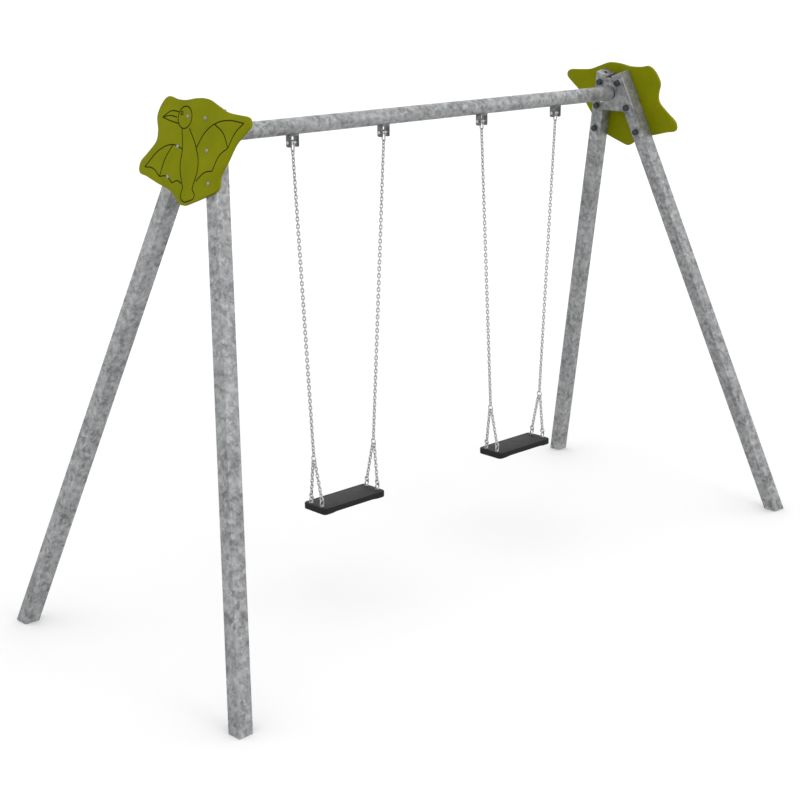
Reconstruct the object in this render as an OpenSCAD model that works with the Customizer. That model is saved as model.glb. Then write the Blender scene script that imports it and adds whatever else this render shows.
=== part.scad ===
// Two-bay playground swing: two leaning A-frames of square tube, a round beam,
// two rubber seats on short-link chain, and a shaped panel on each end.
// Millimetres, +Z up, ground at z = 0, beam along X, origin midway between the feet.
// Left is -X, right is +X, front is -Y, rear is +Y.

/* [Frame] */
// Height of the beam's centre line above the ground
beam_height = 2550; // [2100:10:3100]
// Length of the beam tube
beam_length = 2920; // [2400:10:3600]
// Outside diameter of the beam tube
beam_d = 82.5; // [68:0.5:100]
// Wall of the beam tube
beam_wall = 4; // [3:0.5:6]
// Side of the square leg tube
leg_size = 80; // [66:1:100]
// Wall of the leg tube
leg_wall = 4; // [3:0.5:6]
// Angle between a leg and the centre line of its A-frame
splay_angle = 17; // [13:0.5:21]
// Angle that each A-frame leans in towards the beam
lean_angle = 13; // [6:0.5:16]
// Length of each leg above the beam's centre line
leg_rise = 118; // [98:1:142]
// Gap between the top corners of a pair of legs
leg_top_gap = 30; // [10:1:60]
// Thickness of the plate that closes the top of a leg
leg_cap_t = 5; // [3:0.5:8]
// Vent hole in the plate that closes the top of a leg
vent_d = 24; // [8:1:40]

/* [Head brackets] */
// Thickness of the bracket plate
plate_t = 8; // [6:0.5:12]
// Distance of the bracket plate's side from the outer edge of the leg
plate_inset = 13; // [6:1:20]
// Plate left above the top bolts and below the second bolts
plate_margin = 26; // [20:1:40]
// Length of the spigot inside the beam
spigot_len = 150; // [80:5:250]
// Wall of the spigot
spigot_wall = 6; // [4:0.5:8]
// Distance of the beam's lock bolt from the end of the beam
lock_inset = 60; // [30:1:90]
// Diameter of the beam's lock bolt
lock_d = 10; // [8:1:12]

/* [Frame bolts] */
// Diameter of the bolts through the legs
bolt_d = 12; // [10:1:16]
// Height of the top bolt above the beam, measured along the leg
bolt_rise = 70; // [60:1:85]
// Distance between bolts along the leg
bolt_pitch = 154; // [120:1:190]
// Diameter of the round bolt head
bolt_head_d = 20; // [18:1:30]
// Height of the round bolt head
bolt_head_h = 6; // [5:0.5:10]
// Diameter of the washer under each nut
washer_d = 26; // [24:1:32]
// Thickness of the washer under each nut
washer_t = 2.5; // [1.5:0.5:4]
// Width of the nuts across their flats
nut_af = 19; // [18:1:24]
// Height of the nuts
nut_h = 10; // [8:0.5:14]
// Diameter of the plastic cap over each nut
cap_d = 36; // [34:1:46]
// Height of the plastic cap over each nut
cap_h = 20; // [18:1:28]
// Wall of the plastic cap
cap_wall = 2.5; // [1.5:0.5:4]

/* [End panels] */
// Thickness of the end panels
panel_t = 15; // [10:1:20]

/* [Hangers] */
// Distance between the centres of the two swings
swing_spacing = 1352; // [1200:2:1700]
// Distance between the two hangers of one swing
hanger_spacing = 614; // [520:2:740]
// Distance of the pivot bolt below the beam's centre line
pivot_drop = 80; // [74:1:110]
// Clear width between a hanger's cheeks
hanger_gap = 42; // [36:1:60]
// Thickness of a hanger's cheeks
cheek_t = 6; // [4:0.5:10]
// Width of a hanger's cheeks across the beam
cheek_w = 38; // [32:1:50]
// Cheek left below the middle of the pivot bolt
cheek_below = 23; // [15:1:30]
// Diameter of the pivot bolt
pivot_d = 10; // [8:1:12]
// Diameter of the bearing spool on the pivot bolt, in its groove
spool_d = 14; // [13:0.5:18]
// Diameter of the bearing spool's shoulders
shoulder_d = 22; // [19:1:26]
// Wire of the long link that hangs on the spool
top_wire = 7; // [6:0.5:7]
// Distance from the pivot bolt to the middle of the long link's bottom wire
top_drop = 46; // [42:1:60]

/* [Chains] */
// Diameter of the chain's wire
chain_d = 6; // [5:0.5:6.5]
// Inner length of a chain link
chain_pitch = 18.5; // [17:0.5:24]
// Inner width of a chain link
chain_inner_w = 8.4; // [8.2:0.1:10]
// Twist of each long chain at the middle of its length, in degrees
chain_twist = -45; // [-60:1:60]
// Twist of each short chain at the middle of its length, in degrees
bridle_twist = -18; // [-24:1:24]
// Wire of the round ring that splits each chain in two
ring_wire = 6; // [5:0.5:7]
// Outside diameter of the round ring
ring_d = 38; // [34:1:46]
// Number of links from a ring to each corner of a seat, an odd number
bridle_links = 11; // [9:2:15]
// Wire of the round link at each corner of a seat
corner_wire = 7; // [6:0.5:7]
// Outside diameter of the round link at each corner of a seat
corner_d = 32; // [30:1:40]

/* [Seats] */
// Wanted height of the seat's top, met to the nearest pair of links
seat_height = 555; // [350:5:700]
// Length of the seat
seat_l = 440; // [400:5:540]
// Width of the seat
seat_w = 175; // [145:5:215]
// Thickness of the seat at its ends
seat_end_t = 36; // [30:1:44]
// Thickness of the seat in its middle
seat_mid_t = 32; // [24:1:34]
// Length of the thick part at each end of the seat
seat_block_l = 45; // [36:1:54]
// Radius of the seat's corners
seat_corner_r = 22; // [12:1:30]
// Distance of the seat's eyes from the ends of the seat
eye_inset_l = 21; // [18:1:30]
// Distance of the seat's eyes from the long sides of the seat
eye_inset_w = 45; // [30:1:55]
// Height of the middle of the eye's top wire above the seat
eye_h = 34.5; // [30:0.5:45]
// Wire of the seat's eyes
eye_wire = 7; // [6:0.5:8]
// Distance between the middles of the eye's two sides
eye_w = 22; // [20:1:26]
// Diameter of the stem under each eye
stem_d = 12; // [10:1:14]
// Thickness of the steel plate inside the seat
core_t = 4; // [3:0.5:6]
// Depth of the steel plate below the top of the seat
core_depth = 12; // [9:1:14]

/* [Clearances] */
// Radial clearance of the holes round the bolts
bolt_gap = 0.5; // [0.3:0.1:1]
// Radial running clearance of a spool on its pivot bolt
run_gap = 0.05; // [0.02:0.01:0.1]
// Radial gap between parts that are screwed or pressed together
thread_gap = 0.05; // [0.02:0.01:0.1]
// Radial gap between the spigot and the beam
spigot_gap = 0.75; // [0.4:0.05:1.5]
// Gap between the beam's end and the bracket plate, at the top of the beam
beam_end_gap = 5; // [3:1:15]
// Gap left where two wires hang on each other
wire_gap = 0.05; // [0.02:0.01:0.2]
// Gap between the two chains that hang on a ring, where they come closest
bridle_gap = 0.2; // [0.1:0.05:1]
// Gap between a ring and the chains that turn on it as the seat tilts
turn_gap = 0.4; // [0.3:0.1:1]
// Gap between each end of a spool and its hanger's cheek
side_gap = 0.3; // [0.2:0.1:1]

/* [Hidden] */

$fn = 48;
LEFT = -1;
RIGHT = 1;
FRONT = -1;
REAR = 1;
OUTER = 1;
INNER = -1;
STEEL = [0.63, 0.64, 0.65];
BRIGHT = [0.78, 0.79, 0.80];
GREEN = [0.49, 0.51, 0.02];
BLACK = [0.13, 0.13, 0.14];

// Place of an A-frame: the point where the beam's axis meets the inner face of its legs
frame_x = beam_length / 2 + beam_end_gap + beam_d / 2 * tan(lean_angle) + plate_t / cos(lean_angle);
// Half the distance between a pair of legs' centre lines, level with the beam
leg_y = leg_top_gap / 2 + leg_size / 2 * cos(splay_angle) + leg_rise * sin(splay_angle);
// A leg reaches below the ground by this much before it is cut level
leg_below = beam_height / cos(lean_angle) / cos(splay_angle) + 2 * leg_size;
// Places of the bolts along a leg, from the level of the beam: the lowest misses the plate
bolt_rows = [for (i = [0:2]) bolt_rise - i * bolt_pitch];
plate_rows = 2;
bolt_end_free = 3;
hex = 2 / sqrt(3);

// The plate's outline, in the plane of its A-frame
plate_top = bolt_rows[0] * cos(splay_angle) + plate_margin;
plate_bottom = bolt_rows[1] * cos(splay_angle) - plate_margin;
plate_side = leg_y + (leg_size / 2 - plate_inset) / cos(splay_angle);
spigot_d = beam_d - 2 * beam_wall - 2 * spigot_gap;
lock_x = beam_length / 2 - lock_inset;
lock_head_h = 0.64 * lock_d;
lock_head_af = 1.7 * lock_d;

// Hangers and the top of the chains
pivot_z = beam_height - pivot_drop;
hanger_x = hanger_spacing / 2;
saddle_h = 7;
saddle_side = 10;
pivot_head_h = 0.64 * pivot_d;
pivot_head_af = 1.7 * pivot_d;
groove_w = top_wire + 2;
top_r = spool_d / 2 + wire_gap + top_wire / 2;
top_c = (top_drop - top_r) / 2;
chain_z = pivot_z - top_drop;

// Chain: step from link to link, and from a link's middle to a wire that it hangs on
chain_step = chain_pitch - wire_gap;
link_r = (chain_inner_w + chain_d) / 2;
link_c = (chain_pitch - chain_inner_w) / 2;
function reach(wire) = chain_pitch / 2 - wire / 2 - wire_gap;
ring_r = (ring_d - ring_wire) / 2;
corner_r = (corner_d - corner_wire) / 2;

// Seat corner: the eyes, and the straight pull from a ring down to them
eye_x = seat_l / 2 - eye_inset_l;
eye_y = seat_w / 2 - eye_inset_w;
ring_out = 14;
ring_x = eye_x + ring_out;
corner_hook = (corner_wire + eye_wire) / 2 + wire_gap;
bridle_len = link_c + link_r + (bridle_links - 1) * chain_step + reach(corner_wire) + 2 * corner_r
    - corner_hook;
// The first links below a ring lie against the inside of its wire, on either side of its lowest point:
// so far apart that the second links, which lie across, clear each other where their round ends begin
second_link = chain_step + link_r;
turn_y = (link_r + chain_d / 2 + bridle_gap / 2 - second_link * eye_y / bridle_len)
    / (1 - second_link / bridle_len);
turn_r = ring_r - (ring_wire + chain_d) / 2 - turn_gap;
turn_drop = sqrt(turn_r * turn_r - turn_y * turn_y);
bridle_fall = sqrt(pow(bridle_len, 2) - pow(eye_y - turn_y, 2) - pow(ring_out, 2));
ring_above_seat = eye_h + bridle_fall + turn_drop;

// Main chain: an odd number of links, so that its first and last links face the same way
chain_run = hanger_x - ring_x;
wanted_fall = chain_z - (seat_height + ring_above_seat + ring_r);
wanted_len = sqrt(wanted_fall * wanted_fall + chain_run * chain_run);
chain_ends = reach(top_wire) + reach(ring_wire);
chain_links = 2 * round((wanted_len - chain_ends) / chain_step / 2) + 1;
chain_len = chain_ends + (chain_links - 1) * chain_step;
chain_fall = sqrt(chain_len * chain_len - chain_run * chain_run);
ring_z = chain_z - chain_fall - ring_r;
seat_z = ring_z - ring_above_seat;

foot_d = 2 * stem_d - 2;
foot_h = 2.5;

// Seat: the steel plate inside
core_edge = 15;
seat_blend = 55;

// End panel: points of the outline, y and height above the beam in the panel's plane
panel_points = [[-234, 150], [-277, 121], [-307, 52], [-285, -16], [-288, -70], [-342, -129],
    [-390, -178], [-386, -228], [-320, -243], [-230, -266], [-130, -288], [-75, -318],
    [-20, -348], [50, -328], [185, -273], [232, -243], [232, -183], [265, -123], [310, -33],
    [365, 22], [396, 60], [375, 95], [300, 101], [215, 108], [140, 132], [60, 157],
    [-20, 155], [-100, 141], [-178, 142]];
curve_steps = 5;

// A point between b and c on the smooth curve through a, b, c and d
function curve_at(a, b, c, d, t) = 0.5 * (2 * b + (c - a) * t
    + (2 * a - 5 * b + 4 * c - d) * t * t + (3 * b - a - 3 * c + d) * t * t * t);
// A smooth closed curve through all the points
function closed_curve(p, n) = [for (i = [0:len(p) - 1], k = [0:n - 1])
    curve_at(p[i], p[(i + 1) % len(p)], p[(i + 2) % len(p)], p[(i + 3) % len(p)], k / n)];
// 0 up to a, 1 from b on, and an even S between them
function s_curve(a, b, x) = x <= a ? 0 : x >= b ? 1 : (1 - cos(180 * (x - a) / (b - a))) / 2;

// ---- frames of reference ----

// An A-frame's own frame: X out through the legs, Z up the slope, Y across
module at_frame(side) {
    rotate([0, 0, side == LEFT ? 180 : 0])
        translate([frame_x, 0, beam_height]) rotate([0, -lean_angle, 0]) children();
}

// A leg's own frame, with Z up its centre line, from the level of the beam
module at_leg(side, hand) {
    turned = side * hand;
    at_frame(side) translate([leg_size / 2, turned * leg_y, 0]) rotate([turned * splay_angle, 0, 0]) children();
}

// Every bolt of an A-frame, with Z out along the bolt from the face that it is tightened on
module at_bolts(side) {
    for (hand = [FRONT, REAR], i = [0:2])
        at_leg(side, hand) translate([-leg_size / 2, 0, bolt_rows[i]]) rotate([0, 90, 0]) {
            $plate = i < plate_rows ? plate_t : 0;
            children();
        }
}

// Both hangers of one swing
module at_hangers(side) {
    for (s = [-1, 1]) translate([side * swing_spacing / 2 + s * hanger_x, 0, pivot_z]) children();
}

// All four corners of one seat, from the top of the seat
module at_corners(side) {
    for (sx = [-1, 1], sy = [-1, 1]) translate([side * swing_spacing / 2 + sx * eye_x, sy * eye_y, seat_z])
        children();
}

// Hangs its children on the line from p down to q: their -Z runs along it, their X stays level with X
module hang(p, q) {
    d = (q - p) / norm(q - p);
    translate(p) rotate([asin(d[1]), atan2(-d[0], -d[2]), 0]) children();
}

// ---- shapes that repeat ----

module tube(d, wall, h) {
    difference() {
        cylinder(d = d, h = h);
        translate([0, 0, -1]) cylinder(d = d - 2 * wall, h = h + 2);
    }
}

// Half a ring of wire in the XZ plane, above z = 0
module half_ring(r, wire) {
    rotate([90, 0, 0]) rotate_extrude(angle = 180) translate([r, 0]) circle(d = wire, $fn = 24);
}

// A whole ring of wire in the XZ plane
module wire_ring(r, wire) {
    rotate([90, 0, 0]) rotate_extrude() translate([r, 0]) circle(d = wire, $fn = 24);
}

// A long round-ended link in the XZ plane: r is half its width and c half its straight part
module long_link(r, c, wire) {
    for (s = [-1, 1]) {
        translate([s * r, 0, -c]) cylinder(d = wire, h = 2 * c, $fn = 24);
        translate([0, 0, s * c]) rotate([0, s > 0 ? 0 : 180, 0]) half_ring(r, wire);
    }
}

// A hanging chain: links down -Z, the first one in the XZ plane, each at a quarter turn to the last,
// with a slow twist that is nought at both ends
module chain(links, first, step, twist) {
    for (i = [0:links - 1])
        translate([0, 0, -first - i * step])
            rotate([0, 0, (i % 2) * 90 + twist * sin(180 * i / (links - 1))])
                long_link(link_r, link_c, chain_d);
}

// ---- A-frames ----

module leg(side, hand) {
    color(STEEL) difference() {
        at_leg(side, hand) difference() {
            translate([-leg_size / 2, -leg_size / 2, -leg_below])
                cube([leg_size, leg_size, leg_below + leg_rise - leg_cap_t]);
            translate([-leg_size / 2 + leg_wall, -leg_size / 2 + leg_wall, -leg_below - 1])
                cube([leg_size - 2 * leg_wall, leg_size - 2 * leg_wall, leg_below + leg_rise + 1]);
            for (z = bolt_rows) translate([-leg_size, 0, z]) rotate([0, 90, 0])
                cylinder(d = bolt_d + 2 * bolt_gap, h = 2 * leg_size);
        }
        translate([-beam_length, -beam_length, -beam_height])
            cube([2 * beam_length, 2 * beam_length, beam_height]);
    }
}

module leg_caps(side) {
    color(STEEL) for (hand = [FRONT, REAR]) at_leg(side, hand) difference() {
        translate([-leg_size / 2, -leg_size / 2, leg_rise - leg_cap_t]) cube([leg_size, leg_size, leg_cap_t]);
        translate([0, 0, leg_rise - leg_cap_t - 1]) cylinder(d = vent_d, h = leg_cap_t + 2);
    }
}

module head_bracket(side) {
    slope = tan(splay_angle);
    color(STEEL) difference() {
        union() {
            at_frame(side) rotate([90, 0, 90]) translate([0, 0, -plate_t]) linear_extrude(plate_t)
                polygon([[-plate_side + plate_bottom * slope, plate_bottom],
                    [plate_side - plate_bottom * slope, plate_bottom],
                    [plate_side - plate_top * slope, plate_top],
                    [-plate_side + plate_top * slope, plate_top]]);
            difference() {
                translate([side * (beam_length / 2 - spigot_len), 0, beam_height]) rotate([0, side * 90, 0])
                    tube(spigot_d, spigot_wall, spigot_len + beam_d);
                at_frame(side) translate([-plate_t / 2, -beam_d, -beam_d])
                    cube([2 * beam_d, 2 * beam_d, 2 * beam_d]);
            }
        }
        at_bolts(side) translate([0, 0, -2 * plate_t]) cylinder(d = bolt_d + 2 * bolt_gap, h = 3 * plate_t);
        translate([side * lock_x, 0, beam_height - beam_d])
            cylinder(d = lock_d + 2 * thread_gap, h = beam_d);
    }
}

module frame_bolts(side) {
    color(BRIGHT) at_bolts(side) {
        seat = leg_size + panel_t;
        foot = $plate + washer_t + nut_h + bolt_end_free;
        translate([0, 0, -foot]) cylinder(d = bolt_d, h = foot + seat);
        // A round head: a short rim under a shallow dome
        translate([0, 0, seat]) rotate_extrude() intersection() {
            union() {
                square([bolt_head_d / 2, bolt_head_h / 4]);
                translate([0, bolt_head_h / 4 - dome_sink()]) circle(r = dome_r(), $fn = 64);
            }
            square([bolt_head_d / 2, bolt_head_h]);
        }
    }
}

// Sphere of the bolt head's dome, from its width and its rise
function dome_rise() = 0.75 * bolt_head_h;
function dome_r() = (pow(bolt_head_d / 2, 2) + pow(dome_rise(), 2)) / 2 / dome_rise();
function dome_sink() = dome_r() - dome_rise();

module washer() {
    difference() {
        cylinder(d = washer_d, h = washer_t);
        translate([0, 0, -1]) cylinder(d = bolt_d + 2 * bolt_gap, h = washer_t + 2);
    }
}

module nut_washers(side) {
    color(BRIGHT) at_bolts(side) translate([0, 0, -$plate - washer_t]) washer();
}

module frame_nuts(side) {
    color(BRIGHT) at_bolts(side) translate([0, 0, -$plate - washer_t - nut_h]) difference() {
        cylinder(d = nut_af * hex, h = nut_h, $fn = 6);
        translate([0, 0, -1]) cylinder(d = bolt_d + 2 * thread_gap, h = nut_h + 2);
    }
}

// A cap with a rounded edge, open towards the leg
module bolt_covers(side) {
    round_r = cap_h / 4;
    color(BLACK) at_bolts(side) translate([0, 0, -$plate]) rotate([180, 0, 0]) rotate_extrude() difference() {
        union() {
            square([cap_d / 2, cap_h - round_r]);
            square([cap_d / 2 - round_r, cap_h]);
            translate([cap_d / 2 - round_r, cap_h - round_r]) circle(r = round_r, $fn = 32);
        }
        translate([-1, -1]) square([cap_d / 2 - cap_wall + 1, cap_h - cap_wall + 1]);
        translate([-cap_d, -cap_h]) square([cap_d, 3 * cap_h]);
    }
}

module panel(side) {
    color(GREEN) difference() {
        at_frame(side) translate([leg_size, 0, 0]) rotate([90, 0, 90]) linear_extrude(panel_t)
            polygon(closed_curve(panel_points, curve_steps));
        at_bolts(side) translate([0, 0, leg_size - 1])
            cylinder(d = bolt_d + 2 * bolt_gap, h = panel_t + 2);
    }
}

// ---- beam ----

module crossbeam() {
    color(STEEL) difference() {
        translate([-beam_length / 2, 0, beam_height]) rotate([0, 90, 0]) tube(beam_d, beam_wall, beam_length);
        for (s = [-1, 1]) translate([s * lock_x, 0, beam_height - beam_d])
            cylinder(d = lock_d + 2 * bolt_gap, h = beam_d);
    }
}

module lock_bolt(side) {
    top = beam_height - spigot_d / 2 + spigot_wall + bolt_end_free;
    seat = beam_height - beam_d / 2 - thread_gap;
    color(BRIGHT) translate([side * lock_x, 0, 0]) {
        translate([0, 0, seat]) cylinder(d = lock_d, h = top - seat);
        translate([0, 0, seat - lock_head_h]) cylinder(d = lock_head_af * hex, h = lock_head_h, $fn = 6);
    }
}

module hanger(side, place) {
    top = pivot_drop - beam_d / 2;
    depth = beam_d / 2 - sqrt(beam_d * beam_d / 4 - cheek_w * cheek_w / 4);
    round_r = cheek_w / 4;
    color(STEEL) translate([side * (swing_spacing / 2 + place * hanger_x), 0, pivot_z]) difference() {
        union() {
            // Saddle that is welded under the beam
            translate([-hanger_gap / 2 - cheek_t, -cheek_w / 2, top - saddle_h])
                cube([hanger_gap + 2 * cheek_t, cheek_w, saddle_h + depth]);
            for (s = [-1, 1]) translate([s * (hanger_gap + cheek_t) / 2 - cheek_t / 2, 0, 0])
                rotate([90, 0, 90]) linear_extrude(cheek_t) {
                    translate([-cheek_w / 2, round_r - cheek_below])
                        square([cheek_w, cheek_below + top - round_r]);
                    translate([round_r - cheek_w / 2, -cheek_below])
                        square([cheek_w - 2 * round_r, 2 * round_r]);
                    for (t = [-1, 1]) translate([t * (cheek_w / 2 - round_r), round_r - cheek_below])
                        circle(r = round_r);
                }
        }
        translate([-hanger_gap, 0, pivot_drop]) rotate([0, 90, 0])
            cylinder(d = beam_d + 2 * thread_gap, h = 2 * hanger_gap);
        translate([-hanger_gap, 0, 0]) rotate([0, 90, 0])
            cylinder(d = pivot_d + 2 * run_gap, h = 2 * hanger_gap);
    }
}

module pivot_bolts(side) {
    outside = hanger_gap / 2 + cheek_t;
    length = 2 * outside + 0.8 * pivot_d + bolt_end_free;
    color(BRIGHT) at_hangers(side) rotate([0, side * 90, 0]) {
        translate([0, 0, -length + outside]) cylinder(d = pivot_d, h = length);
        translate([0, 0, outside]) cylinder(d = pivot_head_af * hex, h = pivot_head_h, $fn = 6);
    }
}

module pivot_nuts(side) {
    outside = hanger_gap / 2 + cheek_t;
    color(BRIGHT) at_hangers(side) rotate([0, -side * 90, 0]) translate([0, 0, outside]) difference() {
        cylinder(d = pivot_head_af * hex, h = 0.8 * pivot_d, $fn = 6);
        translate([0, 0, -1]) cylinder(d = pivot_d + 2 * thread_gap, h = pivot_d + 2);
    }
}

// ---- swings ----

// A spool turns on the pivot bolt, and the long link hangs in its groove
module spools(side) {
    length = hanger_gap - 2 * side_gap;
    color(BRIGHT) at_hangers(side) rotate([0, 90, 0]) rotate_extrude() difference() {
        translate([0, -length / 2]) square([shoulder_d / 2, length]);
        translate([-1, -length]) square([1 + pivot_d / 2 + run_gap, 2 * length]);
        translate([spool_d / 2, -groove_w / 2]) square([shoulder_d, groove_w]);
    }
}

module top_links(side) {
    color(BRIGHT) at_hangers(side) rotate([0, 0, 90]) translate([0, 0, -top_c])
        long_link(top_r, top_c, top_wire);
}

// Where a chain meets its long link and its ring, from the middle of its swing
function chain_top(s) = [s * hanger_x, 0, chain_z];
function chain_end(s) = [s * ring_x, 0, ring_z + ring_r];

module main_chain(side, place) {
    s = side * place;
    color(BRIGHT) translate([side * swing_spacing / 2, 0, 0]) hang(chain_top(s), chain_end(s))
        chain(chain_links, reach(top_wire), chain_step, chain_twist);
}

module rings(side) {
    color(BRIGHT) for (s = [-1, 1]) translate([side * swing_spacing / 2 + s * ring_x, 0, ring_z])
        rotate([0, 0, 90]) wire_ring(ring_r, ring_wire);
}

// ---- seats ----

// Ends of the pull on a corner: the first link's top wire in the ring, and the top wire of the eye
function bridle_top(s, t) = [s * ring_x, t * turn_y, ring_z - turn_drop];
function bridle_end(s, t) = [s * eye_x, t * eye_y, seat_z + eye_h];
// Depth of the round link's middle down that pull
corner_at = bridle_len + corner_hook - corner_r;

module bridle(side, place) {
    s = side * place;
    color(BRIGHT) translate([side * swing_spacing / 2, 0, 0]) for (t = [FRONT, REAR])
        hang(bridle_top(s, t), bridle_end(s, t))
            chain(bridle_links, link_c + link_r, chain_step, bridle_twist);
}

module corner_links(side) {
    color(BRIGHT) translate([side * swing_spacing / 2, 0, 0]) for (s = [-1, 1], t = [FRONT, REAR])
        hang(bridle_top(s, t), bridle_end(s, t)) translate([0, 0, -corner_at]) rotate([0, 0, 90])
            wire_ring(corner_r, corner_wire);
}

// A closed eye that stands on a round foot, with a stem down through the steel plate
module seat_eyes(side) {
    r = eye_w / 2;
    low = r + eye_wire / 2;
    color(BRIGHT) at_corners(side) {
        translate([0, 0, (eye_h - r + low) / 2]) long_link(r, (eye_h - r - low) / 2, eye_wire);
        translate([0, 0, -core_depth - core_t]) cylinder(d = stem_d, h = core_depth + core_t + eye_wire / 2);
        cylinder(d = foot_d, h = foot_h);
    }
}

module core_shape() {
    l = seat_l - 2 * core_edge;
    w = seat_w - 2 * core_edge;
    translate([-l / 2, -w / 2, seat_z - core_depth - core_t]) cube([l, w, core_t]);
}

module seat_core(side) {
    color(STEEL) difference() {
        translate([side * swing_spacing / 2, 0, 0]) core_shape();
        at_corners(side) translate([0, 0, -core_depth - 2 * core_t])
            cylinder(d = stem_d + 2 * thread_gap, h = 3 * core_t);
    }
}

// A slab with thick ends and a thinner middle, moulded round the steel plate
module seat(side) {
    half = seat_l / 2;
    start = half - seat_block_l - seat_blend;
    under = [for (x = [-half:half / 44:half + 1e-6])
        [x, -seat_mid_t - (seat_end_t - seat_mid_t) * s_curve(start, half - seat_block_l, abs(x))]];
    color(BLACK) difference() {
        translate([side * swing_spacing / 2, 0, seat_z]) intersection() {
            rotate([90, 0, 0]) translate([0, 0, -seat_w]) linear_extrude(2 * seat_w)
                polygon(concat([[half, 0], [-half, 0]], under));
            translate([0, 0, -2 * seat_end_t]) linear_extrude(3 * seat_end_t) {
                square([seat_l, seat_w - 2 * seat_corner_r], center = true);
                square([seat_l - 2 * seat_corner_r, seat_w], center = true);
                for (s = [-1, 1], t = [-1, 1])
                    translate([s * (half - seat_corner_r), t * (seat_w / 2 - seat_corner_r)])
                        circle(r = seat_corner_r);
            }
        }
        translate([side * swing_spacing / 2, 0, 0]) core_shape();
        at_corners(side) translate([0, 0, -core_depth - core_t / 2])
            cylinder(d = stem_d + 2 * thread_gap, h = 2 * core_depth);
    }
}

// ---- the model ----

leg(LEFT, FRONT);  // left_front_leg
leg(LEFT, REAR);  // left_rear_leg
leg(RIGHT, FRONT);  // right_front_leg
leg(RIGHT, REAR);  // right_rear_leg
leg_caps(LEFT);  // left_leg_caps
leg_caps(RIGHT);  // right_leg_caps
crossbeam();
head_bracket(LEFT);  // left_head_bracket
head_bracket(RIGHT);  // right_head_bracket
lock_bolt(LEFT);  // left_lock_bolt
lock_bolt(RIGHT);  // right_lock_bolt
panel(LEFT);  // left_panel
panel(RIGHT);  // right_panel
frame_bolts(LEFT);  // left_frame_bolts
frame_bolts(RIGHT);  // right_frame_bolts
nut_washers(LEFT);  // left_nut_washers
nut_washers(RIGHT);  // right_nut_washers
frame_nuts(LEFT);  // left_frame_nuts
frame_nuts(RIGHT);  // right_frame_nuts
bolt_covers(LEFT);  // left_bolt_covers
bolt_covers(RIGHT);  // right_bolt_covers
hanger(LEFT, OUTER);  // left_outer_hanger
hanger(LEFT, INNER);  // left_inner_hanger
hanger(RIGHT, INNER);  // right_inner_hanger
hanger(RIGHT, OUTER);  // right_outer_hanger
pivot_bolts(LEFT);  // left_pivot_bolts
pivot_bolts(RIGHT);  // right_pivot_bolts
pivot_nuts(LEFT);  // left_pivot_nuts
pivot_nuts(RIGHT);  // right_pivot_nuts
spools(LEFT);  // left_spools
spools(RIGHT);  // right_spools
top_links(LEFT);  // left_top_links
top_links(RIGHT);  // right_top_links
main_chain(LEFT, OUTER);  // left_outer_chain
main_chain(LEFT, INNER);  // left_inner_chain
main_chain(RIGHT, INNER);  // right_inner_chain
main_chain(RIGHT, OUTER);  // right_outer_chain
rings(LEFT);  // left_rings
rings(RIGHT);  // right_rings
bridle(LEFT, OUTER);  // left_outer_bridle
bridle(LEFT, INNER);  // left_inner_bridle
bridle(RIGHT, INNER);  // right_inner_bridle
bridle(RIGHT, OUTER);  // right_outer_bridle
corner_links(LEFT);  // left_corner_links
corner_links(RIGHT);  // right_corner_links
seat_eyes(LEFT);  // left_seat_eyes
seat_eyes(RIGHT);  // right_seat_eyes
seat_core(LEFT);  // left_seat_core
seat_core(RIGHT);  // right_seat_core
seat(LEFT);  // left_seat
seat(RIGHT);  // right_seat
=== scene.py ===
# %% [markdown]
# # A two-bay playground swing
# Two leaning A-frames of square steel tube carry a round beam. Two rubber seats hang from it on
# short-link chain, and a shaped green sheet covers the head of each A-frame. The frame, the joints
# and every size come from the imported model, so each finished piece here starts from a measured
# place. This lesson takes the pieces one at a time: what each one is, and how it is made.

# %% Load the frame
import math
import bmesh
import bpy
from mathutils import Matrix, Vector


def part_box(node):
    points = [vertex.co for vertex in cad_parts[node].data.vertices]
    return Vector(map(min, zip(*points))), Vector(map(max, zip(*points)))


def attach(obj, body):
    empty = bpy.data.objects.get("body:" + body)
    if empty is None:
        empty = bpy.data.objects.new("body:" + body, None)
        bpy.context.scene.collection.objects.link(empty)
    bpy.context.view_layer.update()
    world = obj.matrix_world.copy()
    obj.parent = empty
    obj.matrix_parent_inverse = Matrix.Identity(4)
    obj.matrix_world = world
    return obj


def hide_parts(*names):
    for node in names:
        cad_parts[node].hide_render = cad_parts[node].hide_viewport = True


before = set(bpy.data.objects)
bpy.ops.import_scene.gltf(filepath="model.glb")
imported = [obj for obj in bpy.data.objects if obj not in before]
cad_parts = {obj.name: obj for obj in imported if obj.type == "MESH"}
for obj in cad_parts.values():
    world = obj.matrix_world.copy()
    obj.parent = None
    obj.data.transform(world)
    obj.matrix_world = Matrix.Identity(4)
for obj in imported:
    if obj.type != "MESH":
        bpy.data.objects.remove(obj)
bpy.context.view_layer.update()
MM = 0.001
print("nodes:", len(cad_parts))
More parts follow.
